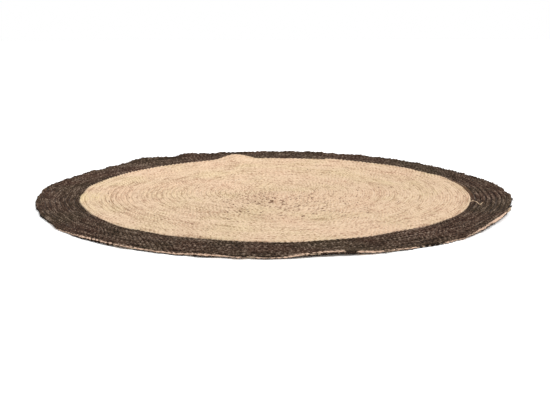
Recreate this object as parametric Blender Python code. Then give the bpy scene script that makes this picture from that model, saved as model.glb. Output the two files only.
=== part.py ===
"""A round jute rug: one natural braid coiled into a flat disc, and a dark braid coiled on round it.

Metres, +Z up. The origin is on the floor, under the middle of the coil, and the rug lies in XY.
Angles are in degrees, anticlockwise from +X as seen from above, and the coil grows that way.
"""

from math import atan2, cos, degrees, hypot, pi, radians, sin

import bmesh
import bpy
from mathutils import Matrix

COLLECTION = "round_jute_rug"

# The flat braid, with a groove between one round of it and the next.
BRAID_WIDTH = 0.0156
BRAID_HEIGHT = 0.0105
GROOVE_DEPTH = 0.0030

# The rug's mean radius. The dark braid starts at the joint angle, and the last round ends at the
# end angle, so the border is that many rounds wide on average. Each solid has a rib for a round.
RUG_RADIUS = 0.750
JOINT_ANGLE = 72.0
END_ANGLE = 342.0
BORDER_TURNS = 8.0 + ((END_ANGLE - JOINT_ANGLE) % 360.0) / 360.0
CENTRE_RADIUS = RUG_RADIUS - BORDER_TURNS * BRAID_WIDTH
CENTRE_RIBS = int(CENTRE_RADIUS / BRAID_WIDTH)
BORDER_RIBS = 9

# The two solids are sewn edge to edge, this far apart.
JOINT_GAP = 0.0003

# How many sides a round has, by how far out it lies. Each count is half the one before it.
FINE_STEPS = 96
MIDDLE_STEPS = 48
COARSE_STEPS = 24
FINE_OUTSIDE = 0.370
MIDDLE_OUTSIDE = 0.160

# Inside this share of the centre's radius the ribs are true circles. Outside it they come round,
# more and more, to the coil's own edge.
TRUE_SHARE = 0.5

# The outer side of the last round: in from the rim, and the share of the braid's height.
RIM_SIDE = (
    # inset, share
    (0.0016, 0.76),
    (0.0000, 0.46),
    (0.0016, 0.17),
    (0.0045, 0.00),
)

# Points of the underside, from the edge to the middle, where the mat can lift.
CENTRE_UNDERSIDE = (0.575, 0.530, 0.470, 0.300, 0.120)
BORDER_UNDERSIDE = (0.720, 0.685, 0.650)

# Where the mat lifts off the floor: a bell over a stretch of the rounds and of the radius.
RIPPLES = (
    # name, angle, distance, height, half angle, half width
    ("back hump", 103.2, 0.600, 0.0164, 7.8, 0.090),
    ("left of the back hump", 108.0, 0.600, 0.0054, 6.0, 0.090),
    ("back left rim", 130.0, 0.790, 0.0126, 11.0, 0.130),
    ("back rim", 116.0, 0.790, 0.0124, 9.0, 0.110),
    ("rim behind the hump", 104.5, 0.780, 0.0038, 6.0, 0.100),
    ("middle back rim", 82.0, 0.790, 0.0065, 36.0, 0.120),
    ("right rim", 337.0, 0.800, 0.0190, 30.0, 0.120),
    ("front rim", 281.0, 0.790, 0.0180, 12.5, 0.080),
    ("front left rim", 262.0, 0.790, 0.0040, 14.0, 0.100),
    ("left front rim", 234.0, 0.790, 0.0025, 14.0, 0.100),
)

# Where the rounds run wide or tight of the coil: added to the centre's edge and to the rim.
STRAYS = (
    # name, angle, half angle, at the centre's edge, at the rim
    ("wide right back", 10.0, 14.0, 0.0065, 0.0080),
    ("wide right back edge", 21.5, 8.0, 0.0110, 0.0000),
    ("tight right back", 32.0, 26.0, -0.0030, -0.0185),
    ("tight back right", 57.0, 14.0, -0.0100, -0.0030),
    ("tight back rim", 69.0, 9.0, 0.0000, -0.0110),
    ("tight back edge", 84.0, 16.0, -0.0040, 0.0000),
    ("wide back edge", 104.0, 14.0, 0.0030, 0.0000),
    ("wide back", 112.0, 12.0, 0.0000, 0.0060),
    ("wide back left", 132.0, 16.0, 0.0000, 0.0080),
    ("wide left", 172.0, 9.0, 0.0080, 0.0095),
    ("wide left edge", 188.0, 16.0, 0.0060, 0.0000),
    ("tight left front", 201.0, 14.0, 0.0000, -0.0075),
    ("tight front left", 211.0, 9.0, 0.0000, -0.0065),
    ("wide front left edge", 226.0, 10.0, 0.0065, 0.0000),
    ("wide front left", 236.0, 9.0, 0.0000, 0.0050),
    ("tight front edge", 252.0, 12.0, -0.0060, 0.0000),
    ("wide front edge", 274.0, 10.0, 0.0075, 0.0000),
    ("tight front", 280.5, 10.0, 0.0000, -0.0110),
    ("tight right front edge", 304.0, 10.0, -0.0075, 0.0000),
    ("wide right front", 315.0, 22.0, 0.0010, 0.0055),
    ("tight right front", 325.0, 11.0, 0.0000, -0.0070),
    ("wide right edge", 332.0, 18.0, 0.0070, 0.0000),
    ("wide right", 352.0, 18.0, 0.0045, 0.0065),
)


def bell(x):
    """1 at 0, falling smoothly to 0 at -1 and 1."""
    if abs(x) >= 1.0:
        return 0.0
    return 0.5 + 0.5 * cos(pi * x)


def between(angle, start):
    """The angle from start to angle, from -180 to 180."""
    return (angle - start + 180.0) % 360.0 - 180.0


def coil_growth(angle, start):
    """How far a coil has grown since it passed start, less half a round, which is its mean."""
    return BRAID_WIDTH * (((angle - start) % 360.0) / 360.0 - 0.5)


def centre_stray(angle):
    strays = sum(edge * bell(between(angle, a) / half) for _, a, half, edge, _ in STRAYS)
    return coil_growth(angle, JOINT_ANGLE) + strays


def rim_stray(angle):
    strays = sum(rim * bell(between(angle, a) / half) for _, a, half, _, rim in STRAYS)
    return coil_growth(angle, END_ANGLE) + strays


def coiled_radius(radius, angle):
    """Where a round of this nominal radius lies, so that both edges follow the coil."""
    edge = centre_stray(angle)
    if radius > CENTRE_RADIUS:
        share = (radius - CENTRE_RADIUS) / (RUG_RADIUS - CENTRE_RADIUS)
        return radius + edge + (rim_stray(angle) - edge) * share
    ramp = (radius / CENTRE_RADIUS - TRUE_SHARE) / (1.0 - TRUE_SHARE)
    ramp = min(max(ramp, 0.0), 1.0)
    return radius + edge * ramp * ramp * (3.0 - 2.0 * ramp)


def lift(radius, angle):
    """How high the mat's underside stands here."""
    return sum(
        height * bell(between(angle, a) / half_angle) * bell((radius - distance) / half_width)
        for _, a, distance, height, half_angle, half_width in RIPPLES
    )


def laid_out(point):
    """Moves a point of the even, flat mat to where the coil and the ripples put it."""
    angle = degrees(atan2(point.y, point.x))
    radius = coiled_radius(hypot(point.x, point.y), angle)
    point.x = radius * cos(radians(angle))
    point.y = radius * sin(radians(angle))
    point.z += lift(radius, angle)


def ribbed_top(inner, outer, ribs):
    """(radius, height) of a groove at the inner edge and then ridges and grooves, out to a ridge."""
    width = (outer - inner) / ribs
    rows = []
    for rib in range(ribs):
        rows.append((inner + rib * width, BRAID_HEIGHT - GROOVE_DEPTH))
        rows.append((inner + (rib + 0.5) * width, BRAID_HEIGHT))
    return rows


def steps_at(radius):
    if radius > FINE_OUTSIDE:
        return FINE_STEPS
    return MIDDLE_STEPS if radius > MIDDLE_OUTSIDE else COARSE_STEPS


def add_ring(bm, radius, height, steps, filled=False):
    """A circle of the even mat, as its edges."""
    made = bmesh.ops.create_circle(
        bm,
        cap_ends=filled,
        segments=steps,
        radius=radius,
        matrix=Matrix.Translation((0.0, 0.0, height)),
    )
    ring = set(made["verts"])
    return [e for e in bm.edges if e.verts[0] in ring and e.verts[1] in ring]


def bridge(bm, rings):
    for first, second in zip(rings, rings[1:]):
        bmesh.ops.bridge_loops(bm, edges=first + second)


def finish(bm, name, collection, material):
    """Lays the mat out and makes it an object with one material."""
    for vert in bm.verts:
        laid_out(vert.co)
    bmesh.ops.recalc_face_normals(bm, faces=bm.faces)
    mesh = bpy.data.meshes.new(name)
    bm.to_mesh(mesh)
    bm.free()
    mesh.shade_smooth()
    mesh.set_sharp_from_angle(angle=radians(50.0))
    mesh.materials.append(material)
    obj = bpy.data.objects.new(name, mesh)
    collection.objects.link(obj)
    return obj


def fibre(name, colour, roughness):
    """Matt jute of one colour."""
    material = bpy.data.materials.new(name)
    material.use_nodes = True
    shader = material.node_tree.nodes["Principled BSDF"]
    shader.inputs["Base Color"].default_value = (*colour, 1.0)
    shader.inputs["Roughness"].default_value = roughness
    shader.inputs["Metallic"].default_value = 0.0
    return material


def natural_centre(collection):
    """The coiled natural braid: ribbed above, flat below, with a small disc at each middle."""
    middle = CENTRE_RADIUS - CENTRE_RIBS * BRAID_WIDTH
    rows = ribbed_top(middle, CENTRE_RADIUS, CENTRE_RIBS)
    rows.append((CENTRE_RADIUS, BRAID_HEIGHT - GROOVE_DEPTH))
    rows.append((CENTRE_RADIUS, 0.0))
    rows += [(radius, 0.0) for radius in CENTRE_UNDERSIDE]
    bm = bmesh.new()
    rings = [
        add_ring(bm, radius, height, steps_at(radius), filled=place in (0, len(rows) - 1))
        for place, (radius, height) in enumerate(rows)
    ]
    bridge(bm, rings)
    return finish(bm, "natural_centre", collection, fibre("natural_jute", (0.72, 0.55, 0.36), 0.9))


def dark_border(collection):
    """The dark braid's rounds: a ribbed band with a round outer side, closed on itself."""
    inner = CENTRE_RADIUS + JOINT_GAP
    rows = ribbed_top(inner, RUG_RADIUS, BORDER_RIBS)
    rows += [(RUG_RADIUS - inset, BRAID_HEIGHT * share) for inset, share in RIM_SIDE]
    rows += [(radius, 0.0) for radius in BORDER_UNDERSIDE]
    rows.append((inner, 0.0))
    bm = bmesh.new()
    profile = [bm.verts.new((radius, 0.0, height)) for radius, height in rows]
    for first, second in zip(profile, profile[1:] + profile[:1]):
        bm.edges.new((first, second))
    bmesh.ops.spin(
        bm,
        geom=profile + list(bm.edges),
        cent=(0.0, 0.0, 0.0),
        axis=(0.0, 0.0, 1.0),
        angle=2.0 * pi,
        steps=FINE_STEPS,
        use_merge=True,
    )
    bmesh.ops.remove_doubles(bm, verts=bm.verts, dist=0.00001)
    return finish(bm, "dark_border", collection, fibre("dark_jute", (0.055, 0.042, 0.034), 0.9))


def clear_scene():
    for obj in list(bpy.data.objects):
        bpy.data.objects.remove(obj, do_unlink=True)


def main():
    clear_scene()
    collection = bpy.data.collections.new(COLLECTION)
    bpy.context.scene.collection.children.link(collection)
    natural_centre(collection)
    dark_border(collection)


main()
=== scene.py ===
"""The looks of the round jute rug: braids of three strands, coiled from the middle out.

The last rounds are dyed dark. Metres, in the frame of the solids: +Z up, the origin on the floor
under the middle of the coil. Angles in the tables are degrees, anticlockwise from +X seen from
above, the way the coil grows.
"""

from math import cos, pi, radians, sin

import bpy
import numpy as np
from mathutils import Matrix, Vector


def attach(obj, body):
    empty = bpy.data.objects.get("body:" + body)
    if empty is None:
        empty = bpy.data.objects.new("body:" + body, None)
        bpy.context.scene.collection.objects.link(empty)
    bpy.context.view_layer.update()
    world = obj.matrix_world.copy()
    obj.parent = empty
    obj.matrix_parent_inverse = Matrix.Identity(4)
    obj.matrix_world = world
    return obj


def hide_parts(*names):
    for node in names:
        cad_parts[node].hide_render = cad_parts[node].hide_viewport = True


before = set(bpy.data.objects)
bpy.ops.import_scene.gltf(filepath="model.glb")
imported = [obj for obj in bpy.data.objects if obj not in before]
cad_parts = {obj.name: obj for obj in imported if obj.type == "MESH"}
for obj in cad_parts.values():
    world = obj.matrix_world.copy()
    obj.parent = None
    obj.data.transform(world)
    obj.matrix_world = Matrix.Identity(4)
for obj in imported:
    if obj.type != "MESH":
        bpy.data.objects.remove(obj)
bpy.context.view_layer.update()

# The braid and its coil, as in the solids.
BRAID_WIDTH = 0.0156
BRAID_HEIGHT = 0.0105
RUG_RADIUS = 0.750
JOINT_ANGLE = 72.0
END_ANGLE = 342.0
BORDER_TURNS = 8.0 + ((END_ANGLE - JOINT_ANGLE) % 360.0) / 360.0
CENTRE_RADIUS = RUG_RADIUS - BORDER_TURNS * BRAID_WIDTH

# Inside this share of the centre's radius, the strays below don't move the rounds.
TRUE_SHARE = 0.5

# Where the mat lifts off the floor: a bell over a stretch of the rounds and of the radius.
RIPPLES = (
    # name, angle, distance, height, half angle, half width
    ("back hump", 103.2, 0.600, 0.0164, 7.8, 0.090),
    ("left of the back hump", 108.0, 0.600, 0.0054, 6.0, 0.090),
    ("back left rim", 130.0, 0.790, 0.0126, 11.0, 0.130),
    ("back rim", 116.0, 0.790, 0.0124, 9.0, 0.110),
    ("rim behind the hump", 104.5, 0.780, 0.0038, 6.0, 0.100),
    ("middle back rim", 82.0, 0.790, 0.0065, 36.0, 0.120),
    ("right rim", 337.0, 0.800, 0.0190, 30.0, 0.120),
    ("front rim", 281.0, 0.790, 0.0180, 12.5, 0.080),
    ("front left rim", 262.0, 0.790, 0.0040, 14.0, 0.100),
    ("left front rim", 234.0, 0.790, 0.0025, 14.0, 0.100),
)

# Where the rounds run wide or tight of the coil: added to the centre's edge and to the rim.
STRAYS = (
    # name, angle, half angle, at the centre's edge, at the rim
    ("wide right back", 10.0, 14.0, 0.0065, 0.0080),
    ("wide right back edge", 21.5, 8.0, 0.0110, 0.0000),
    ("tight right back", 32.0, 26.0, -0.0030, -0.0185),
    ("tight back right", 57.0, 14.0, -0.0100, -0.0030),
    ("tight back rim", 69.0, 9.0, 0.0000, -0.0110),
    ("tight back edge", 84.0, 16.0, -0.0040, 0.0000),
    ("wide back edge", 104.0, 14.0, 0.0030, 0.0000),
    ("wide back", 112.0, 12.0, 0.0000, 0.0060),
    ("wide back left", 132.0, 16.0, 0.0000, 0.0080),
    ("wide left", 172.0, 9.0, 0.0080, 0.0095),
    ("wide left edge", 188.0, 16.0, 0.0060, 0.0000),
    ("tight left front", 201.0, 14.0, 0.0000, -0.0075),
    ("tight front left", 211.0, 9.0, 0.0000, -0.0065),
    ("wide front left edge", 226.0, 10.0, 0.0065, 0.0000),
    ("wide front left", 236.0, 9.0, 0.0000, 0.0050),
    ("tight front edge", 252.0, 12.0, -0.0060, 0.0000),
    ("wide front edge", 274.0, 10.0, 0.0075, 0.0000),
    ("tight front", 280.5, 10.0, 0.0000, -0.0110),
    ("tight right front edge", 304.0, 10.0, -0.0075, 0.0000),
    ("wide right front", 315.0, 22.0, 0.0010, 0.0055),
    ("tight right front", 325.0, 11.0, 0.0000, -0.0070),
    ("wide right edge", 332.0, 18.0, 0.0070, 0.0000),
    ("wide right", 352.0, 18.0, 0.0045, 0.0065),
)

# The coil as a spiral: its radius is GROWTH times how far it has turned, in radians. Its turns are
# worked out at this many points, from the first one to the last.
GROWTH = BRAID_WIDTH / (2.0 * pi)
START_TURN = 1.15 * pi
JOINT_TURN = CENTRE_RADIUS / GROWTH
END_TURN = JOINT_TURN + BORDER_TURNS * 2.0 * pi
TURN_COUNT = 60000

# The seed of every random draw.
SEED = 46

# The plait. A strand's middle swings to each side and goes over and under twice as often. At the
# braid's edge a strand is alone: there it is rolled, and gets thicker by its edge fill and wider by
# a share of that. The dark braid is coiled from its other end, so its strands cross on top the
# other way.
STRAND_NAMES = ("a", "b", "c")
PLAIT_PERIOD = 0.048
STRAND_WIDTH = 0.0070
STRAND_HEIGHT = 0.0054
SWING = 0.0044
WEAVE = 0.5 * (BRAID_HEIGHT - STRAND_HEIGHT)
EDGE_ROLL = radians(20.0)
EDGE_SPREAD = 0.16
BRAIDS = {
    # name: (edge fill, hand, ends in a taper)
    "natural": (0.78, -1.0, False),
    "dark": (0.20, 1.0, True),
}
FLOOR_CLEARANCE = 0.0002

# A strand's mesh: the sides of its section, which is flat above and below, and its rings in degrees
# of each half period, closer together where a strand of the natural braid is on top. The dark
# braid's are the mirror of them. The plait's phase is worked out at every step along the coil.
SECTION_SIDES = 6
FIRST_CORNER = -120.0
FLAT_HEIGHT = sin(pi / 3.0)
HALF_PERIOD_RINGS = (0.0, 55.0, 99.0, 126.0, 153.0)
PHASE_STEP = 0.004

# Unevenness of the braid: how far a value wanders, and how often it changes along the braid.
UNEVEN = {
    # name: (amount, spacing)
    "phase": (1.8, 0.70),
    "beat": (0.35, 0.045),
    "swing": (0.0007, 0.021),
    "sideways": (0.0010, 0.110),
    "edge fill": (0.30, 0.240),
    "height": (0.0005, 0.037),
    "strand width": (0.0010, 0.022),
    "strand height": (0.0008, 0.026),
    "rim sideways": (0.0032, 0.019),
    "rim height": (0.0018, 0.011),
}
OWN_DRIFTS = ("strand width", "strand height")
SHARED_DRIFTS = tuple(name for name in UNEVEN if name not in OWN_DRIFTS)

# How the braids end: over this length the plait draws in, to this share of its size. The coil's own
# end is also tucked inwards by so much, and down by half of that. The strands themselves thin less:
# to the thin share, if the plait drew in to nothing.
BUTT_TAPER, BUTT_SHARE = 0.012, 0.70
END_TAPER, END_SHARE, END_TUCK = 0.120, 0.30, 0.0050
THIN_SHARE = 0.4

# A pale band runs along the rim's outer side, between dyed fibre over it and under it: from its
# foot up to its top, over the underside. Under its foot the dyed fibre is painted darker still, as
# painted shadow. It is on the last round alone, this near the rim, where it fades in over so much.
PALE_REACH = 0.0110
PALE_FADE = 0.004
PALE_BAND = (
    # angle, foot, top
    (0.0, 0.0010, 0.0000),
    (204.0, 0.0010, 0.0000),
    (212.0, 0.0004, 0.0024),
    (222.0, 0.0026, 0.0062),
    (226.0, 0.0048, 0.0078),
    (231.0, 0.0056, 0.0086),
    (238.0, 0.0054, 0.0082),
    (243.0, 0.0040, 0.0074),
    (251.0, 0.0036, 0.0068),
    (255.0, 0.0054, 0.0088),
    (258.0, 0.0040, 0.0078),
    (262.0, 0.0010, 0.0046),
    (272.0, 0.0012, 0.0048),
    (275.0, 0.0044, 0.0086),
    (279.0, 0.0064, 0.0100),
    (283.6, 0.0058, 0.0092),
    (284.4, 0.0050, 0.0030),
    (285.9, 0.0050, 0.0030),
    (286.6, 0.0026, 0.0084),
    (290.0, 0.0022, 0.0080),
    (294.0, 0.0046, 0.0080),
    (299.0, 0.0036, 0.0064),
    (300.0, 0.0030, 0.0010),
    (305.0, 0.0030, 0.0010),
    (306.0, 0.0022, 0.0056),
    (312.0, 0.0016, 0.0054),
    (316.0, 0.0048, 0.0084),
    (320.0, 0.0056, 0.0094),
    (326.0, 0.0024, 0.0102),
    (329.0, 0.0036, 0.0104),
    (331.0, 0.0056, 0.0104),
    (333.0, 0.0070, 0.0104),
    (334.5, 0.0060, 0.0030),
    (350.0, 0.0010, 0.0000),
    (360.0, 0.0010, 0.0000),
)

# The thin ground of fibre inside the braids, seen where strands part: from one height to another,
# and from this near the middle to so much inside the rim. It draws in along the last degrees
# before the coil's end. Its rings have so many sides, and there are so many in the natural part
# and in the dark one. It fills the natural braid's grooves by so much more: unevenly, with so many
# changes in a round, at the right, and on some of the rounds.
GROUND_LOW = 0.0030
GROUND_HIGH = 0.0068
GROUND_MIDDLE = 0.004
GROUND_INSET = 0.0045
GROUND_TAPER = 14.0
GROUND_STEPS = 96
NATURAL_RINGS, DARK_RINGS = 26, 6
GROUND_KNOTS = 14
UNEVEN_FILL = 0.0022
RIGHT_FILL = 0.0016
MOST_FILL = 0.0030
FILLED_ROUNDS = (
    # distance, half width, fill
    (0.585, 0.060, 0.0030),
    (0.437, 0.055, 0.0030),
    (0.230, 0.140, 0.0020),
)

# Fibres that stand off the braids: three-sided, with rings at these shares of their length. Each
# has its own stretch of the strand map, so much on from the last one's and so wide. The angles of
# fibres are in radians.
FIBRE_SIDES = 3
FIBRE_RINGS = (0.2, 0.5, 0.8)
FIBRE_LENGTH = (0.008, 0.024)
FIBRE_GIRTH = (0.00012, 0.00024)
FIBRE_MAP_STEP, FIBRE_MAP_WIDTH = 0.37, 0.001
NATURAL_FIBRES, DARK_FIBRES, RIM_FIBRES = 3400, 1900, 700
UPWARD = np.array((0.0, 0.0, 1.0))

# Fibres on top of the braids: from this near the middle of the mat, both ends in the braid or, for
# a share of them, one end loose, at these heights. They turn from the rounds by about so much,
# bend sideways by about a share of their length, and arch up.
INNERMOST_FIBRE = 0.01
LOOSE_SHARE = 0.35
HELD_HEIGHT, LOOSE_HEIGHT = 0.0080, (0.0100, 0.0125)
FIBRE_TURN, FIBRE_BEND, FIBRE_ARCH = 0.6, 0.10, (0.0022, 0.0040)

# Tufts of fibres on the outer side of the last round, which start inside it.
RIM_TUFTS, TUFT_SPREAD = 60, 0.006
TUFT_INSET, TUFT_HEIGHT, TUFT_TURN = 0.0030, (0.0020, 0.0080), (0.5, 1.5)
TUFT_RISE, TUFT_BOW, TUFT_ARCH = (-0.001, 0.003), 0.0015, (-0.001, 0.002)
TUFT_REACH, LOWEST_TIP = 0.8, 0.0008

# Pale fibres along the tapered end of the last round: the angle from its tip, how much further back
# they start, how deep inside its outer side they lie, and how much more so towards the tip.
FRAYED_COUNT = 150
FRAYED_LENGTH = (0.006, 0.014)
FRAYED_GIRTH = 0.00045
FRAYED_START, FRAYED_STRETCH = 0.085, 0.080
FRAYED_INSET, FRAYED_DRAW, FRAYED_DEPTH = 0.0015, 0.0050, 0.003
FRAYED_TURN, FRAYED_HEIGHT = (0.10, 0.25), (0.0060, 0.0095)
FRAYED_RISE, FRAYED_BOW = (-0.002, 0.001), 0.0010

# A loose pale yarn across the first dark rounds. Its tips are this share of its girth.
YARN_GIRTH = 0.0013
YARN_TIP = 0.4
YARN_RINGS = 33
LOOSE_YARN = (
    # angle, distance, height
    (343.8, 0.6110, 0.0070),
    (344.7, 0.6155, 0.0112),
    (346.3, 0.6265, 0.0114),
    (345.3, 0.6375, 0.0110),
    (341.7, 0.6510, 0.0112),
    (345.1, 0.6570, 0.0112),
    (346.5, 0.6600, 0.0070),
)

# The bake maps: what is left free at each side of a row, or of a fibre's cell, as a share of it.
ROW_MARGIN = 0.03
CELL_MARGIN = 0.05

# The light of the white room, and of the broad lamp, which comes from this direction.
ROOM_LIGHT = 1.14
LAMP_LIGHT = 2.2
LAMP_SOFTNESS = 34.0
LAMP_PLACE = (1.20, -0.55, 1.6)
FLOOR_SIZE = 16.0

# The camera, as the photograph's outline gives it.
PHOTO_WIDTH = 550
FOCAL_PIXELS = 975.5
SENSOR_WIDTH = 36.0
CAMERA_DISTANCE = 4.2 * RUG_RADIUS
CAMERA_ELEVATION = 12.416
CAMERA_PITCH = 0.670
CAMERA_YAW = 0.064
CAMERA_ROLL = -0.195


# ---------------------------------------------------------------- the coil's shape

def bell(x):
    """1 at 0, falling smoothly to 0 at -1 and 1."""
    return np.where(np.abs(x) < 1.0, 0.5 + 0.5 * np.cos(pi * np.clip(x, -1.0, 1.0)), 0.0)


def smooth(x):
    """0 below 0, 1 above 1, and a soft step between."""
    x = np.clip(x, 0.0, 1.0)
    return x * x * (3.0 - 2.0 * x)


def between(angle, start):
    """The angle from start to angle, from -180 to 180."""
    return (angle - start + 180.0) % 360.0 - 180.0


def coil_growth(angle, start):
    """How far the coil has grown since it passed start, less half a round, which is its mean."""
    return BRAID_WIDTH * (((angle - start) % 360.0) / 360.0 - 0.5)


def spread(radius, edge, rim):
    """A shift that is edge at the centre's edge and rim at the rim, and fades out further in."""
    share = (radius - CENTRE_RADIUS) / (RUG_RADIUS - CENTRE_RADIUS)
    ramp = smooth((radius / CENTRE_RADIUS - TRUE_SHARE) / (1.0 - TRUE_SHARE))
    return np.where(radius > CENTRE_RADIUS, edge + (rim - edge) * share, edge * ramp)


def lift(radius, angle):
    """How high the mat's underside stands here."""
    return sum(
        height * bell(between(angle, a) / half_angle) * bell((radius - distance) / half_width)
        for _, a, distance, height, half_angle, half_width in RIPPLES
    )


def laid_out(points):
    """Moves points of the even, flat coil to where the strays and the ripples put them."""
    angle = np.degrees(np.arctan2(points[:, 1], points[:, 0]))
    radius = np.hypot(points[:, 0], points[:, 1])
    edge = sum(e * bell(between(angle, a) / half) for _, a, half, e, _ in STRAYS)
    rim = sum(r * bell(between(angle, a) / half) for _, a, half, _, r in STRAYS)
    radius = radius + spread(radius, edge, rim)
    x = radius * np.cos(np.radians(angle))
    y = radius * np.sin(np.radians(angle))
    return np.column_stack([x, y, points[:, 2] + lift(radius, angle)])


def coil_length(turn):
    """The length of the coil's middle line up to this turn."""
    return 0.5 * GROWTH * (turn * np.sqrt(1.0 + turn * turn) + np.arcsinh(turn))


TURNS = np.linspace(START_TURN, END_TURN, TURN_COUNT)
LENGTHS = coil_length(TURNS)


def turn_at(place):
    """The turn at this place along the coil's middle line."""
    return np.interp(place, LENGTHS, TURNS)


def angle_at(turn):
    """The angle round the rug, in radians, at this turn."""
    return radians(JOINT_ANGLE) + turn - JOINT_TURN


def drift(rng, name):
    """A smooth random value of the place along the coil, which wanders as UNEVEN says."""
    amount, spacing = UNEVEN[name]
    knots = rng.uniform(-amount, amount, int(LENGTHS[-1] / spacing) + 3)

    def value(place):
        step = place / spacing
        low = np.floor(step).astype(int)
        share = smooth(step - low)
        return knots[low] * (1.0 - share) + knots[low + 1] * share

    return value


# ---------------------------------------------------------------- meshes

def make_object(name, points, corners, sizes, maps, material):
    """An object from its points, its faces' corners and their number, and its UV maps by corner."""
    mesh = bpy.data.meshes.new(name)
    mesh.vertices.add(len(points))
    mesh.vertices.foreach_set("co", np.ascontiguousarray(points, dtype=np.float32).ravel())
    mesh.loops.add(len(corners))
    mesh.loops.foreach_set("vertex_index", np.asarray(corners, dtype=np.int32))
    mesh.polygons.add(len(sizes))
    starts = np.concatenate([[0], np.cumsum(sizes)[:-1]]).astype(np.int32)
    mesh.polygons.foreach_set("loop_start", starts)
    for map_name, places in maps.items():
        layer = mesh.uv_layers.new(name=map_name)
        layer.uv.foreach_set("vector", np.ascontiguousarray(places, dtype=np.float32).ravel())
    mesh.update(calc_edges=True)
    mesh.shade_smooth()
    mesh.materials.append(material)
    obj = bpy.data.objects.new(name, mesh)
    bpy.context.scene.collection.objects.link(obj)
    return obj


def add_values(obj, name, values):
    """A number for each point, which the material can read."""
    layer = obj.data.attributes.new(name, "FLOAT", "POINT")
    layer.data.foreach_set("value", np.asarray(values, dtype=np.float32))


def unrolled(rings, sides, aspect):
    """A map that lays a long tube's faces in rows, without overlaps. aspect is how many times
    longer round the tube is than one ring is from the next."""
    bands = rings - 1
    in_row = int(np.ceil(np.sqrt(bands * aspect)))
    rows = int(np.ceil(bands / in_row))
    band, side = np.divmod(np.arange(bands * sides), sides)
    row, place = np.divmod(band, in_row)
    along = np.column_stack([place, place + 1, place + 1, place]) / in_row
    round_it = np.column_stack([side, side, side + 1, side + 1]) / sides
    height = (row[:, None] + ROW_MARGIN + (1.0 - 2.0 * ROW_MARGIN) * round_it) / rows
    return np.stack([along, height], axis=2).reshape(-1, 2)


def ring_faces(count, sides):
    """The faces round and between so many rings, and at both ends: their corners, and how many
    each has. Also the band and the side of each face between two rings."""
    band, side = np.divmod(np.arange((count - 1) * sides), sides)
    following = (side + 1) % sides
    quads = np.column_stack([
        band * sides + side,
        (band + 1) * sides + side,
        (band + 1) * sides + following,
        band * sides + following,
    ])
    first = np.arange(sides)
    last = (count - 1) * sides + np.arange(sides)[::-1]
    corners = np.concatenate([quads.ravel(), first, last])
    sizes = np.concatenate([np.full(len(quads), 4), [sides, sides]])
    return corners, sizes, band, side


def tube(name, rings, around, material):
    """A closed tube through rings of points. around is the length round it, in metres."""
    count, sides, _ = rings.shape
    corners, sizes, band, side = ring_faces(count, sides)
    middles = rings.mean(axis=1)
    steps = np.linalg.norm(np.diff(middles, axis=0), axis=1)
    along = np.concatenate([[0.0], np.cumsum(steps)])
    strand_u = np.column_stack([along[band], along[band + 1], along[band + 1], along[band]])
    strand_v = np.column_stack([side, side, side + 1, side + 1]) * around / sides
    strand = np.stack([strand_u, strand_v], axis=2).reshape(-1, 2)
    bake = unrolled(count, sides, around / steps.mean())
    caps = np.zeros((2 * sides, 2))
    maps = {
        "strand": np.concatenate([strand, caps]),
        "OFBake": np.concatenate([bake, caps]),
    }
    return make_object(name, laid_out(rings.reshape(-1, 3)), corners, sizes, maps, material)


# ---------------------------------------------------------------- the braids

def taper(place, end, length, share):
    """1 away from this end of a braid, falling to share at the end itself."""
    return share + (1.0 - share) * smooth(np.abs(place - end) / length)


def ring_phases(hand, number, start, end, uneven):
    """The plait's phase at each ring of a strand, and the place of each ring along the coil."""
    grid = np.arange(start, end, PHASE_STEP)
    phases = 2.0 * pi * (grid / PLAIT_PERIOD + number / len(STRAND_NAMES))
    phases += uneven["phase"](grid) + uneven["beat"](grid)
    halves = np.arange(np.floor(phases[0] / pi), np.ceil(phases[-1] / pi))
    steps = np.sort((-hand * np.array(HALF_PERIOD_RINGS)) % 180.0)
    phase = (halves[:, None] * pi + np.radians(steps)).ravel()
    phase = phase[(phase > phases[0]) & (phase < phases[-1])]
    return phase, np.interp(phase, phases, grid)


def sections(middle, half_width, half_height, roll):
    """A ring of points round each point of a strand's middle line, rolled about that line, with no
    point of it under the floor. The half height is that of the corners of the section."""
    ahead = np.gradient(middle, axis=0)
    ahead /= np.linalg.norm(ahead, axis=1)[:, None]
    level = np.hypot(ahead[:, 0], ahead[:, 1])
    outward = np.column_stack([ahead[:, 1], -ahead[:, 0], np.zeros(len(ahead))]) / level[:, None]
    upward = np.cross(outward, ahead)
    corner = np.radians(np.arange(SECTION_SIDES) * 360.0 / SECTION_SIDES + FIRST_CORNER)
    wide = half_width[:, None] * np.cos(corner)
    high = half_height[:, None] * np.sin(corner)
    turned_wide = wide * np.cos(roll)[:, None] + high * np.sin(roll)[:, None]
    turned_high = high * np.cos(roll)[:, None] - wide * np.sin(roll)[:, None]
    rings = (
        middle[:, None, :]
        + turned_wide[:, :, None] * outward[:, None, :]
        + turned_high[:, :, None] * upward[:, None, :]
    )
    rings[:, :, 2] = np.clip(rings[:, :, 2], FLOOR_CLEARANCE, None)
    return rings


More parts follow.
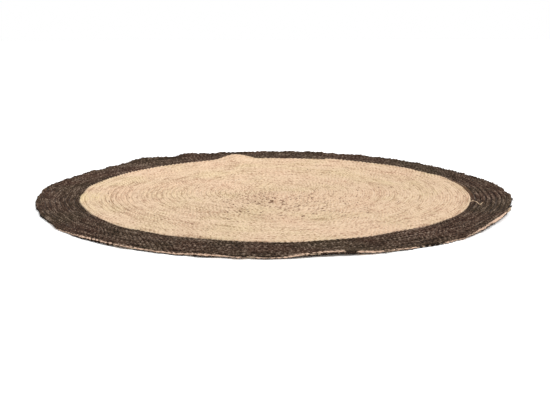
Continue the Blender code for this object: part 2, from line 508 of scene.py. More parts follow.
def strand_rings(name, number, start, end, uneven, own):
    """Rings of points along one strand of a braid, from one place on the coil to another."""
    edge_fill, hand, tapered = BRAIDS[name]
    phase, place = ring_phases(hand, number, start, end, uneven)
    size = taper(place, start, BUTT_TAPER, BUTT_SHARE)
    tuck = np.zeros_like(place)
    if tapered:
        size = size * taper(place, end, END_TAPER, END_SHARE)
        tuck = END_TUCK * (1.0 - smooth(np.abs(place - end) / END_TAPER))
    else:
        size = size * taper(place, end, BUTT_TAPER, BUTT_SHARE)
    turn = turn_at(place)
    at_rim = smooth((turn - END_TURN) / (2.0 * pi) + 2.0)
    rise = hand * np.sin(2.0 * phase)
    across = (SWING + uneven["swing"](place)) * size * np.sin(phase)
    across += uneven["sideways"](place) + uneven["rim sideways"](place) * at_rim - tuck
    height = 0.5 * BRAID_HEIGHT + WEAVE * size * rise - 0.5 * tuck
    height += (uneven["height"](place) + uneven["rim height"](place) * at_rim) * size

    radius = GROWTH * turn + across
    angle = angle_at(turn)
    middle = np.column_stack([radius * np.cos(angle), radius * np.sin(angle), height])
    roll = EDGE_ROLL * rise * np.sin(phase)
    fill = (edge_fill + uneven["edge fill"](place)) * np.sin(phase) ** 2
    thinned = THIN_SHARE + (1.0 - THIN_SHARE) * size
    half_width = 0.5 * (STRAND_WIDTH + own["strand width"](place)) * thinned
    half_width = half_width * (1.0 + EDGE_SPREAD * fill)
    half_height = 0.5 * (STRAND_HEIGHT + own["strand height"](place)) * thinned
    half_height = half_height * (1.0 + fill) / FLAT_HEIGHT
    return sections(middle, half_width, half_height, roll)


def pale_band(points):
    """The heights of the pale band's foot and top at each point of the flat border."""
    angle = np.degrees(np.arctan2(points[:, 1], points[:, 0])) % 360.0
    angles, feet, tops = zip(*PALE_BAND)
    rim = RUG_RADIUS + coil_growth(angle, END_ANGLE)
    near = smooth((np.hypot(points[:, 0], points[:, 1]) - rim + PALE_REACH) / PALE_FADE)
    return np.interp(angle, angles, feet), np.interp(angle, angles, tops) * near


def braid(name, start, end, uneven, rng, material):
    """The three strands of one braid, each its own piece."""
    made = []
    around = pi * 0.5 * (STRAND_WIDTH + STRAND_HEIGHT)
    for number, letter in enumerate(STRAND_NAMES):
        own = {key: drift(rng, key) for key in OWN_DRIFTS}
        rings = strand_rings(name, number, start, end, uneven, own)
        strand = tube(f"{name}_strand_{letter}", rings, around, material)
        foot, top = pale_band(rings.reshape(-1, 3))
        add_values(strand, "height", rings[:, :, 2].ravel())
        # Below the band's foot the material paints shadow.
        add_values(strand, "band_foot", foot)
        add_values(strand, "band_top", top)
        made.append(strand)
    return made


# ---------------------------------------------------------------- loose fibres and yarns

def fibre_cells(count, across, along):
    """A map with a cell for each fibre. across and along are its corners' places, from 0 to 1."""
    in_row = int(np.ceil(np.sqrt(count)))
    row, column = np.divmod(np.arange(count), in_row)
    filled = 1.0 - 2.0 * CELL_MARGIN
    u = (column[:, None] + CELL_MARGIN + filled * along[None, :]) / in_row
    v = (row[:, None] + CELL_MARGIN + filled * across[None, :]) / in_row
    return np.stack([u, v], axis=2).reshape(-1, 2)


def fibres(name, starts, ends, bows, girths, material):
    """Many fine fibres as one object. Each goes from its start to its end, bowed, with sharp tips."""
    count = len(starts)
    shares = np.array(FIBRE_RINGS)[None, :, None]
    bulge = 4.0 * shares * (1.0 - shares)
    line = starts[:, None] + (ends - starts)[:, None] * shares + bows[:, None] * bulge
    along = ends - starts
    length = np.linalg.norm(along, axis=1)
    side = np.column_stack([along[:, 1], -along[:, 0], np.zeros(count)])
    side /= np.linalg.norm(side, axis=1)[:, None] + 1e-9
    corner = np.arange(FIBRE_SIDES) * 2.0 * pi / FIBRE_SIDES
    section = np.cos(corner)[None, :, None] * side[:, None] + np.sin(corner)[None, :, None] * UPWARD
    rings = line[:, :, None] + (girths[:, None, None] * section)[:, None]
    points = np.concatenate(
        [starts[:, None], rings.reshape(count, -1, 3), ends[:, None]], axis=1
    )

    bands = len(FIBRE_RINGS) - 1
    band, k = np.divmod(np.arange(bands * FIBRE_SIDES), FIBRE_SIDES)
    after = (k + 1) % FIBRE_SIDES
    low, high = 1 + band * FIBRE_SIDES, 1 + (band + 1) * FIBRE_SIDES
    quads = np.column_stack([low + k, low + after, high + after, high + k])
    first, last = 0, 1 + len(FIBRE_RINGS) * FIBRE_SIDES
    k = np.arange(FIBRE_SIDES)
    after = (k + 1) % FIBRE_SIDES
    root = np.column_stack([np.full(FIBRE_SIDES, first), 1 + after, 1 + k])
    tip = np.column_stack([np.full(FIBRE_SIDES, last), last - FIBRE_SIDES + k,
                           last - FIBRE_SIDES + after])
    one = np.concatenate([root.ravel(), quads.ravel(), tip.ravel()])
    corners = (one[None, :] + (np.arange(count) * (last + 1))[:, None]).ravel()
    sizes = np.tile([3] * FIBRE_SIDES + [4] * len(quads) + [3] * FIBRE_SIDES, count)

    places = np.concatenate([[0.0], np.repeat(FIBRE_RINGS, FIBRE_SIDES), [1.0]])[one]
    turned = fibre_turns(bands)
    u = places[None, :] * length[:, None] + FIBRE_MAP_STEP * np.arange(count)[:, None]
    v = np.broadcast_to(turned * FIBRE_MAP_WIDTH, u.shape)
    maps = {
        "strand": np.stack([u, v], axis=2).reshape(-1, 2),
        "OFBake": fibre_cells(count, turned, places),
    }
    made = make_object(name, laid_out(points.reshape(-1, 3)), corners, sizes, maps, material)
    # Fibres count as top fibre, so the painted shading by height leaves them at its lightest.
    add_values(made, "height", np.full(count * (last + 1), BRAID_HEIGHT))
    return made


def fibre_turns(bands):
    """How far round a fibre each of its faces' corners is, from 0 to 1."""
    k = np.arange(FIBRE_SIDES)
    root = np.column_stack([k + 0.5, k + 1, k])
    quad = np.column_stack([k, k + 1, k + 1, k])
    tip = np.column_stack([k + 0.5, k, k + 1])
    return np.concatenate([root.ravel(), np.tile(quad.ravel(), bands), tip.ravel()]) / FIBRE_SIDES


def surface_fibres(name, count, inner, outer, rng, material):
    """Fibres that stand off the braids from one radius to another, most of them along the rounds."""
    radius = np.sqrt(rng.uniform(inner**2, outer**2, count))
    angle = rng.uniform(0.0, 2.0 * pi, count)
    heading = angle + 0.5 * pi + rng.normal(0.0, FIBRE_TURN, count)
    length = rng.uniform(*FIBRE_LENGTH, count)
    middle = np.column_stack([radius * np.cos(angle), radius * np.sin(angle)])
    reach = 0.5 * length[:, None] * np.column_stack([np.cos(heading), np.sin(heading)])
    loose = rng.uniform(0.0, 1.0, count) < LOOSE_SHARE
    high = np.where(loose, rng.uniform(*LOOSE_HEIGHT, count), HELD_HEIGHT)
    starts = np.column_stack([middle - reach, np.full(count, HELD_HEIGHT)])
    ends = np.column_stack([middle + reach, high])
    bows = np.column_stack([
        rng.normal(0.0, FIBRE_BEND, count) * length,
        rng.normal(0.0, FIBRE_BEND, count) * length,
        rng.uniform(*FIBRE_ARCH, count),
    ])
    return fibres(name, starts, ends, bows, rng.uniform(*FIBRE_GIRTH, count), material)


def rim_fibres(name, count, rng, material):
    """Fibres that stand out from the side of the last round, in tufts."""
    tufts = rng.uniform(0.0, 2.0 * pi, RIM_TUFTS)
    angle = rng.choice(tufts, count) + rng.normal(0.0, TUFT_SPREAD, count)
    rim = RUG_RADIUS + coil_growth(np.degrees(angle) % 360.0, END_ANGLE)
    heading = angle + np.sign(rng.normal(0.0, 1.0, count)) * rng.uniform(*TUFT_TURN, count)
    length = rng.uniform(*FIBRE_LENGTH, count)
    low = rng.uniform(*TUFT_HEIGHT, count)
    root = rim - TUFT_INSET
    starts = np.column_stack([root * np.cos(angle), root * np.sin(angle), low])
    reach = TUFT_REACH * length
    ends = starts + np.column_stack([
        reach * np.cos(heading), reach * np.sin(heading), rng.uniform(*TUFT_RISE, count)
    ])
    bows = np.column_stack([
        TUFT_BOW * np.cos(angle), TUFT_BOW * np.sin(angle), rng.uniform(*TUFT_ARCH, count)
    ])
    ends[:, 2] = np.clip(ends[:, 2], LOWEST_TIP, None)
    return fibres(name, starts, ends, bows, rng.uniform(*FIBRE_GIRTH, count), material)


def frayed_end(rng, material):
    """The pale fibres along the tapered end of the last round, where its yarns come apart."""
    count = FRAYED_COUNT
    share = np.sqrt(rng.uniform(0.0, 1.0, count))
    angle = radians(END_ANGLE) - FRAYED_START - FRAYED_STRETCH * (1.0 - share)
    radius = RUG_RADIUS + 0.5 * BRAID_WIDTH - FRAYED_INSET - FRAYED_DRAW * share**2
    radius -= rng.uniform(0.0, FRAYED_DEPTH, count)
    heading = angle + 0.5 * pi + rng.normal(*FRAYED_TURN, count)
    length = rng.uniform(*FRAYED_LENGTH, count)
    starts = np.column_stack([
        radius * np.cos(angle), radius * np.sin(angle), rng.uniform(*FRAYED_HEIGHT, count)
    ])
    ends = starts + np.column_stack([
        length * np.cos(heading), length * np.sin(heading), rng.uniform(*FRAYED_RISE, count)
    ])
    bows = rng.normal(0.0, FRAYED_BOW, (count, 3))
    return fibres("frayed_end", starts, ends, bows, np.full(count, FRAYED_GIRTH), material)


def loose_yarn(material):
    """A pale yarn of the natural braid that lies loose across the first dark rounds."""
    route = np.array(LOOSE_YARN)
    steps = np.linspace(0.0, len(route) - 1.0, YARN_RINGS)
    low = np.clip(steps.astype(int), 0, len(route) - 2)
    step = (steps - low)[:, None]
    share = 0.5 * (smooth(step) + step)
    polar = route[low] * (1.0 - share) + route[low + 1] * share
    angle = np.radians(polar[:, 0])
    middle = np.column_stack([polar[:, 1] * np.cos(angle), polar[:, 1] * np.sin(angle), polar[:, 2]])
    ahead = np.gradient(middle, axis=0)
    side = np.column_stack([ahead[:, 1], -ahead[:, 0], np.zeros(len(ahead))])
    side /= np.linalg.norm(side, axis=1)[:, None]
    corner = np.arange(SECTION_SIDES) * 2.0 * pi / SECTION_SIDES
    fullness = YARN_TIP + (1.0 - YARN_TIP) * np.sin(np.linspace(0.0, pi, YARN_RINGS))
    girth = YARN_GIRTH * fullness[:, None, None]
    section = np.cos(corner)[None, :, None] * side[:, None] + np.sin(corner)[None, :, None] * UPWARD
    yarn = tube("loose_yarn", middle[:, None] + girth * section, 2.0 * pi * YARN_GIRTH, material)
    # The yarn counts as top fibre for the painted shading by height.
    add_values(yarn, "height", np.full(YARN_RINGS * SECTION_SIDES, BRAID_HEIGHT))
    return yarn


# ---------------------------------------------------------------- the ground inside the braids

def groove_fills(radii, degrees, rng):
    """How much higher the ground's upper side stands at each radius and angle."""
    knots = rng.uniform(0.0, 1.0, (len(radii), GROUND_KNOTS))
    knot_angles = np.arange(GROUND_KNOTS) * 360.0 / GROUND_KNOTS
    uneven = np.array([np.interp(degrees, knot_angles, row, period=360.0) for row in knots])
    right = smooth(0.5 + np.cos(np.radians(degrees)))
    natural = (radii < CENTRE_RADIUS - BRAID_WIDTH)[:, None]
    filled = sum(fill * bell((radii - at) / half) for at, half, fill in FILLED_ROUNDS)[:, None]
    fills = UNEVEN_FILL * smooth(2.0 * uneven - 0.5) + RIGHT_FILL * right + filled
    return natural * np.clip(fills, 0.0, MOST_FILL)


def fibre_ground(material, rng):
    """A thin closed sheet inside the braids, with their outline and ripples."""
    inner = np.linspace(GROUND_MIDDLE, CENTRE_RADIUS, NATURAL_RINGS)
    outer = np.linspace(CENTRE_RADIUS, RUG_RADIUS - GROUND_INSET, DARK_RINGS + 1)[1:]
    radii = np.concatenate([inner, outer])
    degrees = np.arange(GROUND_STEPS) * 360.0 / GROUND_STEPS
    upper = GROUND_HIGH + groove_fills(radii, degrees, rng)
    lower = np.full(upper.shape, GROUND_LOW)
    rows = list(zip(radii, upper)) + list(zip(radii[::-1], lower))
    at_joint = coil_growth(degrees, JOINT_ANGLE)
    past_end = between(degrees, END_ANGLE)
    drawn_in = np.where(past_end <= 0.0, smooth(past_end / GROUND_TAPER + 1.0), 0.0)
    at_end = coil_growth(degrees, END_ANGLE) - BRAID_WIDTH * drawn_in
    rings = []
    for radius, heights in rows:
        grown = radius + spread(np.full(GROUND_STEPS, radius), at_joint, at_end)
        x, y = grown * np.cos(np.radians(degrees)), grown * np.sin(np.radians(degrees))
        rings.append(np.column_stack([x, y, heights]))
    points = laid_out(np.concatenate(rings))
    corners, sizes, _, _ = ring_faces(len(rows), GROUND_STEPS)
    upper_count = len(radii) * GROUND_STEPS
    maps = {"OFBake": two_sided_map(points, corners, upper_count)}
    ground = make_object("coil_ground", points, corners, sizes, maps, material)
    nominal = np.repeat([row[0] for row in rows], GROUND_STEPS)
    is_upper = np.arange(len(points)) < upper_count
    dyed = is_upper & (nominal > 0.5 * (inner[-2] + inner[-1]))
    add_values(ground, "dye", np.where(dyed, 1.0, -1.0))
    return ground


def two_sided_map(points, corners, upper_count):
    """A map with the plan of the upper side on its left half, and of the lower side on its right.
    The upper side's points come first, and there are so many of them."""
    plan = points[corners][:, :2] / (4.0 * (RUG_RADIUS + BRAID_WIDTH)) + 0.5
    plan[:, 0] += np.where(corners < upper_count, -0.25, 0.25)
    return plan


# ---------------------------------------------------------------- materials

def srgb(red, green, blue):
    """A colour as a picture shows it, from 0 to 255, as the shader's linear numbers."""
    shares = [value / 255.0 for value in (red, green, blue)]
    linear = [s / 12.92 if s <= 0.04045 else ((s + 0.055) / 1.055) ** 2.4 for s in shares]
    return (*linear, 1.0)


class Graph:
    """A material's nodes, written as calls. Each call gives the new node's output."""

    def __init__(self, name):
        self.material = bpy.data.materials.new(name)
        self.material.use_nodes = True
        self.tree = self.material.node_tree
        self.shader = self.tree.nodes["Principled BSDF"]

    def add(self, kind, output, inputs, **settings):
        made = self.tree.nodes.new("ShaderNode" + kind)
        for key, value in settings.items():
            setattr(made, key, value)
        for key, value in inputs.items():
            self.feed(made.inputs[key], value)
        return made.outputs[output]

    def feed(self, socket, value):
        if isinstance(value, bpy.types.NodeSocket):
            self.tree.links.new(value, socket)
        else:
            socket.default_value = value

    def strand_map(self):
        return self.add("UVMap", "UV", {}, uv_map="strand")

    def place(self):
        return self.add("TexCoord", "Object", {})

    def attribute(self, name):
        """The number that add_values gave each point."""
        return self.add("Attribute", "Fac", {}, attribute_name=name)

    def away(self, point):
        """How far the place is from this point."""
        return self.add("VectorMath", "Value", {0: self.place(), 1: point}, operation="DISTANCE")

    def near(self, patch):
        """A patch's share: most in its middle, and none past its end."""
        middle, full, end, most = patch
        return self.range(self.away(middle), full, end, most, 0.0)

    def rounds(self, along, across):
        """Places on the mat, along and across its rounds: so many units in a radian and a metre."""
        place = self.place()
        way = self.add("VectorMath", "Vector", {0: place}, operation="NORMALIZE")
        scaled = self.add(
            "VectorMath", "Vector", {0: way, 1: (along, along, 0.0)}, operation="MULTIPLY"
        )
        radius = self.add("VectorMath", "Value", {0: place}, operation="LENGTH")
        lifted = self.add("CombineXYZ", "Vector", {"Z": self.math("MULTIPLY", radius, across)})
        return self.add("VectorMath", "Vector", {0: scaled, 1: lifted}, operation="ADD")

    def noise(self, vector, scale=(1.0, 1.0, 1.0), detail=2.0, offset=0.0):
        """Noise from about 0.3 to 0.7, with that many features in a unit each way."""
        scaled = self.add(
            "Mapping", "Vector", {"Vector": vector, "Scale": scale, "Location": (offset,) * 3}
        )
        return self.add("TexNoise", "Fac", {"Vector": scaled, "Scale": 1.0, "Detail": detail})

    def range(self, value, low, high, to_low=0.0, to_high=1.0):
        """Value from low to high, as to_low to to_high, with soft ends."""
        return self.add(
            "MapRange",
            "Result",
            {"Value": value, "From Min": low, "From Max": high, "To Min": to_low, "To Max": to_high},
            interpolation_type="SMOOTHSTEP",
        )

    def math(self, operation, *values):
        return self.add("Math", "Value", dict(enumerate(values)), operation=operation)

    def mix(self, share, first, second, blend="MIX"):
        return self.add(
            "Mix", 2, {0: share, 6: first, 7: second}, data_type="RGBA", blend_type=blend
        )

    def ramp(self, value, stops):
        """A colour from (position, colour) rows."""
        made = self.tree.nodes.new("ShaderNodeValToRGB")
        self.feed(made.inputs["Fac"], value)
        elements = made.color_ramp.elements
        while len(elements) < len(stops):
            elements.new(0.5)
        for element, (position, colour) in zip(elements, stops):
            element.position = position
            element.color = colour
        return made.outputs["Color"]

    def grey(self, value):
        return self.add("CombineColor", "Color", {"Red": value, "Green": value, "Blue": value})


NATURAL_TONES = (
    # position, colour
    (0.28, srgb(134, 101, 75)),
    (0.40, srgb(178, 151, 126)),
    (0.50, srgb(194, 169, 142)),
    (0.70, srgb(205, 182, 154)),
)
NATURAL_CASTS = (
    (0.36, srgb(195, 178, 142)),
    (0.50, srgb(194, 169, 142)),
    (0.64, srgb(198, 166, 142)),
)
DYED_TONES = (
    (0.30, srgb(24, 14, 6)),
    (0.44, srgb(51, 37, 25)),
    (0.56, srgb(83, 65, 52)),
    (0.70, srgb(136, 119, 104)),
)
DYED_CASTS = (
    (0.38, srgb(64, 57, 43)),
    (0.50, srgb(60, 47, 37)),
    (0.62, srgb(72, 47, 40)),
)
FLOOR_TONES = (
    (0.3, (0.96, 0.96, 0.96, 1.0)),
    (0.7, (0.98, 0.98, 0.98, 1.0)),
)
FLECK_BROWN = srgb(92, 62, 40)
STRAW_YELLOW = srgb(204, 190, 142)
FADED_BROWN = srgb(122, 88, 56)
UNDYED = srgb(188, 160, 139)
# Painted shadow under the pale band, along the rim's foot.
PAINTED_UNDER_SHADOW = srgb(36, 19, 11)

# Painted shade that a colour is multiplied by: at the right and the left of the centre, and in the
# dyed ground seen between the strands.
PAINTED_SHADE_TONE = srgb(248, 247, 244)
PAINTED_GROUND_SHADE = srgb(196, 182, 168)

# Patches where the fibre differs: in its colour for the straw and the faded one, and by painted
# shade at the right and the left.
STRAW_PATCH, RIGHT_PAINTED_SHADE, LEFT_PAINTED_SHADE, FADED_PATCH = (
    # middle, full up to, ends at, share in the middle
    ((-0.60, -0.08, 0.01), 0.03, 0.10, 0.35),
    ((0.42, -0.08, 0.01), 0.10, 0.60, 1.00),
    ((-0.50, 0.02, 0.01), 0.08, 0.40, 0.55),
    ((0.63, 0.09, 0.01), 0.04, 0.22, 1.00),
)

# How far past the first dark round's start its faded brown is full, and where it ends.
FADED_ROUND = (0.010, 0.028)

# The flecked part: its middle, how far they are densest and from where they are rarest, and above
# which level of the noise they show in the one and in the other.
FLECKED_PLACE = (0.05, -0.18, 0.01)
FLECKED_REACH = (0.05, 0.34)
FLECK_LEVELS = (0.585, 0.725)
FLECK_EDGE, FLECK_SHARE = 0.03, 0.85

# The mat is painted a little darker towards the front and paler towards the back, as painted
# light and shade: a point before it, the distances from there between which it does, and the
# brightness at each.
BEFORE_THE_MAT = (0.0, -3.0, 0.01)
FRONT_AND_BACK = (2.5, 3.5)
PAINTED_FRONT_AND_BACK_LIGHT = (0.965, 1.040)

# Noise by the strand's map: features in a metre along the strand and round it.
TONE_FEATURES = (180.0, 180.0, 1.0)
STREAK_FEATURES = (160.0, 3200.0, 1.0)
HAIR_FEATURES = (220.0, 4200.0, 1.0)
FLECK_FEATURES = (80.0, 900.0, 1.0)
RAGGED_FEATURES = (70.0, 300.0, 1.0)

# Noise by the rounds: features in a radian along them and in a metre across them.
ROUND_TONES = (9.0, 110.0)
FLECK_ROUNDS = (10.0, 120.0)
# Where the natural fibre in the grooves is painted lighter, against their shade.
PAINTED_GROOVE_LIGHT_PATCHES = (1.3, 18.0)

# Noise by the place: features in a metre each way.
CAST_FEATURES = (5.0, 5.0, 5.0)
GROUND_FEATURES = (160.0, 160.0, 160.0)
GROUND_HAIRS = (900.0, 900.0, 900.0)
FLOOR_FEATURES = (0.8, 0.8, 0.8)

# The yarns of a strand: from one to the next along it and round it, and their share of the bump.
YARN_ALONG, YARN_ROUND, YARN_SHARE = 0.016, 0.0026, 0.25

# The pale band: how far its edges wander, how softly they end, and the share of painted shadow
# under it.
RAGGED_HEIGHT, BAND_FADE, PAINTED_UNDER_SHADOW_SHARE = 0.006, 0.0005, 0.9

# The ground's dye value is 1 where it is dyed and -1 where it isn't. This is how softly it ends.
DYE_FADE = 0.25


def speckle(graph, along, across, offset):
    """Fine noise over the rounds: features of so many metres along and across them, at the rim."""
    place = graph.rounds(RUG_RADIUS / along, 1.0 / across)
    return graph.noise(place, detail=1.0, offset=offset)


def jute_colour(graph, tones, casts, cast_share, round_share, fine_share, low, painted_groove_shading):
    """The fibre's colour: tones along each strand and, by their share, along the rounds and as fine
    speckle, and a slow cast over the mat. Painted shading by height: fibre at the low height, low
    in the braid, takes the painted groove shading, which paints shade below 1 and light above it,
    and the highest fibre is painted a little lighter."""
    strand = graph.strand_map()
    tone = graph.noise(strand, TONE_FEATURES)
    rounds = graph.noise(graph.rounds(*ROUND_TONES))
    fine = speckle(graph, along=0.0042, across=0.012, offset=2.0)
    for noise, share in ((rounds, round_share), (fine, fine_share)):
        shift = graph.math("MULTIPLY", graph.math("SUBTRACT", noise, 0.5), share)
        tone = graph.math("ADD", tone, shift)
    colour = graph.ramp(tone, tones)
    cast = graph.ramp(graph.noise(graph.place(), CAST_FEATURES), casts)
    colour = graph.mix(cast_share, colour, cast)
    streak = graph.noise(strand, STREAK_FEATURES, offset=5.0)
    shade = graph.range(streak, 0.30, 0.70, to_low=0.84, to_high=1.08)
    # Painted shading: fibre low in the braid is multiplied by the painted groove shading, and the
    # highest fibre is painted 1.04 times as bright.
    painted_depth_shading = graph.range(graph.attribute("height"), low, 0.0100, to_low=painted_groove_shading, to_high=1.04)
    shade = graph.math("MULTIPLY", shade, painted_depth_shading)
    return graph.mix(1.0, colour, graph.grey(shade), "MULTIPLY")


def jute_relief(graph):
    """Yarns laid round the strand, and their fibres, as a bump."""
    strand = graph.strand_map()
    turns = (2.0 * pi / YARN_ALONG, 2.0 * pi / YARN_ROUND, 0.0)
    yarns = graph.add("VectorMath", "Value", {0: strand, 1: turns}, operation="DOT_PRODUCT")
    hairs = graph.noise(strand, HAIR_FEATURES, offset=9.0)
    height = graph.math("MULTIPLY_ADD", graph.math("SINE", yarns), YARN_SHARE, hairs)
    return graph.add(
        "Bump", "Normal", {"Height": height, "Strength": 0.6, "Distance": 0.0007}
    )


def finish_jute(graph, colour, roughness, shine):
    shader = graph.shader
    graph.feed(shader.inputs["Base Color"], colour)
    graph.feed(shader.inputs["Normal"], jute_relief(graph))
    shader.inputs["Roughness"].default_value = roughness
    shader.inputs["Specular IOR Level"].default_value = shine
    return graph.material


def flecked(graph, colour):
    """Brown bits of stalk in the fibre, most of them in the middle of the mat."""
    bits = graph.noise(graph.rounds(*FLECK_ROUNDS), detail=1.0, offset=120.0)
    streaks = graph.noise(graph.strand_map(), FLECK_FEATURES, offset=13.0)
    streaks = graph.math("MULTIPLY", graph.math("SUBTRACT", streaks, 0.5), 0.16)
    threshold = graph.range(graph.away(FLECKED_PLACE), *FLECKED_REACH, *FLECK_LEVELS)
    above = graph.math("SUBTRACT", graph.math("ADD", bits, streaks), threshold)
    share = graph.range(above, 0.0, FLECK_EDGE, 0.0, FLECK_SHARE)
    return graph.mix(share, colour, FLECK_BROWN)


def natural_jute():
    """Undyed jute, with painted shade a little deeper at the right and the left, and painted light
    and shade that make it a little paler towards the back. Over parts of the mat the fibre in the
    grooves is painted lighter, against their shade, where they hardly show."""
    graph = Graph("natural_jute_plait")
    # Over these patches the grooves' fibre is painted 0.94 to 1.46 times as bright: mostly painted
    # light against their shade.
    painted_groove_light_patches = graph.noise(graph.rounds(*PAINTED_GROOVE_LIGHT_PATCHES), detail=1.0, offset=11.0)
    colour = jute_colour(
        graph,
        NATURAL_TONES,
        NATURAL_CASTS,
        cast_share=0.36,
        round_share=1.3,
        fine_share=0.6,
        low=0.0045,
        painted_groove_shading=graph.range(painted_groove_light_patches, 0.40, 0.58, to_low=0.94, to_high=1.46),
    )
    colour = graph.mix(graph.near(STRAW_PATCH), colour, STRAW_YELLOW)
    # Painted shade at the right and the left of the centre.
    share = graph.math("ADD", graph.near(RIGHT_PAINTED_SHADE), graph.near(LEFT_PAINTED_SHADE))
    colour = graph.mix(share, colour, PAINTED_SHADE_TONE, "MULTIPLY")
    # Painted light and shade: darker at the front and paler at the back.
    light = graph.range(graph.away(BEFORE_THE_MAT), *FRONT_AND_BACK, *PAINTED_FRONT_AND_BACK_LIGHT)
    colour = graph.mix(1.0, colour, graph.grey(light), "MULTIPLY")
    return finish_jute(graph, flecked(graph, colour), roughness=0.88, shine=0.25)


def dyed_shares(graph):
    """The shares of the dye on the whole, 0 in the pale band, and of the painted shadow, a dark
    brown, under the band. The band's edges are ragged."""
    height, foot, top = map(graph.attribute, ("height", "band_foot", "band_top"))
    ragged = graph.noise(graph.strand_map(), RAGGED_FEATURES, offset=7.0)
    ragged = graph.math("MULTIPLY", graph.math("SUBTRACT", ragged, 0.5), RAGGED_HEIGHT)
    uneven = graph.math("ADD", height, ragged)
    over = graph.math("SUBTRACT", uneven, top)
    under = graph.math("SUBTRACT", foot, uneven)
    dyed = graph.range(graph.math("MAXIMUM", over, under), -BAND_FADE, BAND_FADE)
    return dyed, graph.range(under, -BAND_FADE, BAND_FADE, 0.0, PAINTED_UNDER_SHADOW_SHARE)


def dyed_jute():
    """Dyed jute, faded on the first round at the right, with the pale band on the last one and
    painted shadow under that band.
    """
    graph = Graph("dark_jute_plait")
    colour = jute_colour(
        graph,
        DYED_TONES,
        DYED_CASTS,
        cast_share=0.28,
        round_share=0.65,
        fine_share=0.33,
        low=0.0062,
        # Painted shade in the grooves of the dyed braid.
        painted_groove_shading=0.30,
    )
    radius = graph.add("VectorMath", "Value", {0: graph.place()}, operation="LENGTH")
    full, end = (CENTRE_RADIUS + distance for distance in FADED_ROUND)
    first = graph.range(radius, full, end, to_low=0.60, to_high=0.0)
    bits = graph.range(speckle(graph, along=0.006, across=0.01, offset=4.0), 0.4, 0.6)
    near = graph.math("MULTIPLY", graph.near(FADED_PATCH), bits)
    colour = graph.mix(graph.math("MULTIPLY", first, near), colour, FADED_BROWN)
    # Painted shadow, a dark brown, under the pale band's foot.
    dyed, painted_shadow_share = dyed_shares(graph)
    colour = graph.mix(dyed, UNDYED, graph.mix(painted_shadow_share, colour, PAINTED_UNDER_SHADOW))
    return finish_jute(graph, colour, roughness=0.90, shine=0.10)


def ground_jute():
    graph = Graph("ground_jute")
    place = graph.place()
    natural = graph.ramp(graph.noise(place, GROUND_FEATURES, detail=3.0), NATURAL_TONES)
    dyed = graph.ramp(graph.noise(place, GROUND_FEATURES, detail=3.0, offset=4.0), DYED_TONES)
    share = graph.range(graph.attribute("dye"), -DYE_FADE, DYE_FADE)
    # Painted shade in the dyed ground, which shows between the strands.
    dyed = graph.mix(1.0, dyed, PAINTED_GROUND_SHADE, "MULTIPLY")
    colour = graph.mix(share, natural, dyed)
    hairs = graph.noise(place, GROUND_HAIRS)
    bump = graph.add("Bump", "Normal", {"Height": hairs, "Strength": 0.5, "Distance": 0.0006})
    graph.feed(graph.shader.inputs["Base Color"], colour)
    graph.feed(graph.shader.inputs["Normal"], bump)
    graph.shader.inputs["Roughness"].default_value = 0.95
    return graph.material


# ---------------------------------------------------------------- studio and camera

def white_room():
    """White light from all round. Where the camera sees the room itself, it is plain white."""
    world = bpy.data.worlds.new("studio")
    world.use_nodes = True
    tree = world.node_tree
    background = tree.nodes["Background"]
    background.inputs["Color"].default_value = (1.0, 1.0, 1.0, 1.0)
    seen = tree.nodes.new("ShaderNodeLightPath")
    strength = tree.nodes.new("ShaderNodeMapRange")
    strength.inputs["To Min"].default_value = ROOM_LIGHT
    strength.inputs["To Max"].default_value = 1.0
    tree.links.new(seen.outputs["Is Camera Ray"], strength.inputs["Value"])
    tree.links.new(strength.outputs["Result"], background.inputs["Strength"])
    bpy.context.scene.world = world
    bpy.context.scene.view_settings.view_transform = "Standard"


def broad_lamp():
    """Soft light from high up at the right."""
    light = bpy.data.lights.new("overhead", "SUN")
    light.angle = radians(LAMP_SOFTNESS)
    light.energy = LAMP_LIGHT
    lamp = bpy.data.objects.new("overhead", light)
    lamp.location = LAMP_PLACE
    lamp.rotation_mode = "QUATERNION"
    lamp.rotation_quaternion = lamp.location.to_track_quat("Z", "Y")
    bpy.context.scene.collection.objects.link(lamp)


def pale_floor():
    """A matt white that hardly varies."""
    graph = Graph("pale_floor")
    tint = graph.noise(graph.place(), FLOOR_FEATURES, detail=1.0)
    graph.feed(graph.shader.inputs["Base Color"], graph.ramp(tint, FLOOR_TONES))
    graph.shader.inputs["Roughness"].default_value = 0.9
    return graph.material


def floor():
    bpy.ops.mesh.primitive_plane_add(size=FLOOR_SIZE)
    plane = bpy.context.object
    plane.name = "floor"
    plane.data.materials.append(pale_floor())


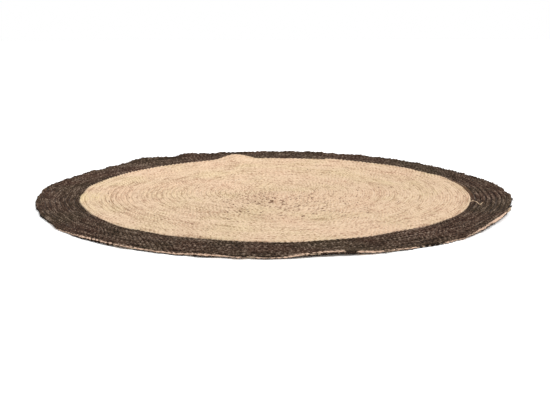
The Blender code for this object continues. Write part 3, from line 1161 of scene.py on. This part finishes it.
def camera():
    """A camera where the photograph was taken from, looking a little below the rug's middle."""
    elevation = radians(CAMERA_ELEVATION)
    down = radians(CAMERA_ELEVATION + CAMERA_PITCH)
    yaw = radians(CAMERA_YAW)
    roll = radians(CAMERA_ROLL)
    ahead = Vector((sin(yaw) * cos(down), cos(yaw) * cos(down), -sin(down)))
    right = ahead.cross(Vector((0.0, 0.0, 1.0))).normalized()
    up = right.cross(ahead)
    rolled_right = cos(roll) * right + sin(roll) * up
    rolled_up = cos(roll) * up - sin(roll) * right
    data = bpy.data.cameras.new("camera")
    data.sensor_width = SENSOR_WIDTH
    data.lens = FOCAL_PIXELS * SENSOR_WIDTH / PHOTO_WIDTH
    obj = bpy.data.objects.new("camera", data)
    turned = Matrix((rolled_right, rolled_up, -ahead)).transposed().to_4x4()
    obj.matrix_world = Matrix.Translation(
        (0.0, -CAMERA_DISTANCE * cos(elevation), CAMERA_DISTANCE * sin(elevation))
    ) @ turned
    bpy.context.scene.collection.objects.link(obj)
    bpy.context.scene.camera = obj


# ---------------------------------------------------------------- putting it together

def dress(pieces, node):
    for piece in pieces:
        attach(piece, "root")
        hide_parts(node)


def main():
    camera()
    white_room()
    broad_lamp()
    floor()
    rng = np.random.default_rng(SEED)
    uneven = {key: drift(rng, key) for key in SHARED_DRIFTS}
    start, joint, end = LENGTHS[0], coil_length(JOINT_TURN), LENGTHS[-1]
    undyed, dyed = natural_jute(), dyed_jute()
    natural = braid("natural", start, joint, uneven, rng, undyed)
    dark = braid("dark", joint, end, uneven, rng, dyed)
    inside, joined, outside = INNERMOST_FIBRE, CENTRE_RADIUS, RUG_RADIUS
    natural.append(surface_fibres("natural_fibres", NATURAL_FIBRES, inside, joined, rng, undyed))
    dark.append(surface_fibres("dark_fibres", DARK_FIBRES, joined, outside, rng, dyed))
    dark.append(rim_fibres("rim_fibres", RIM_FIBRES, rng, dyed))
    dark += [frayed_end(rng, undyed), loose_yarn(undyed)]
    ground = fibre_ground(ground_jute(), rng)
    dress(natural + [ground], "natural_centre")
    dress(dark, "dark_border")


main()
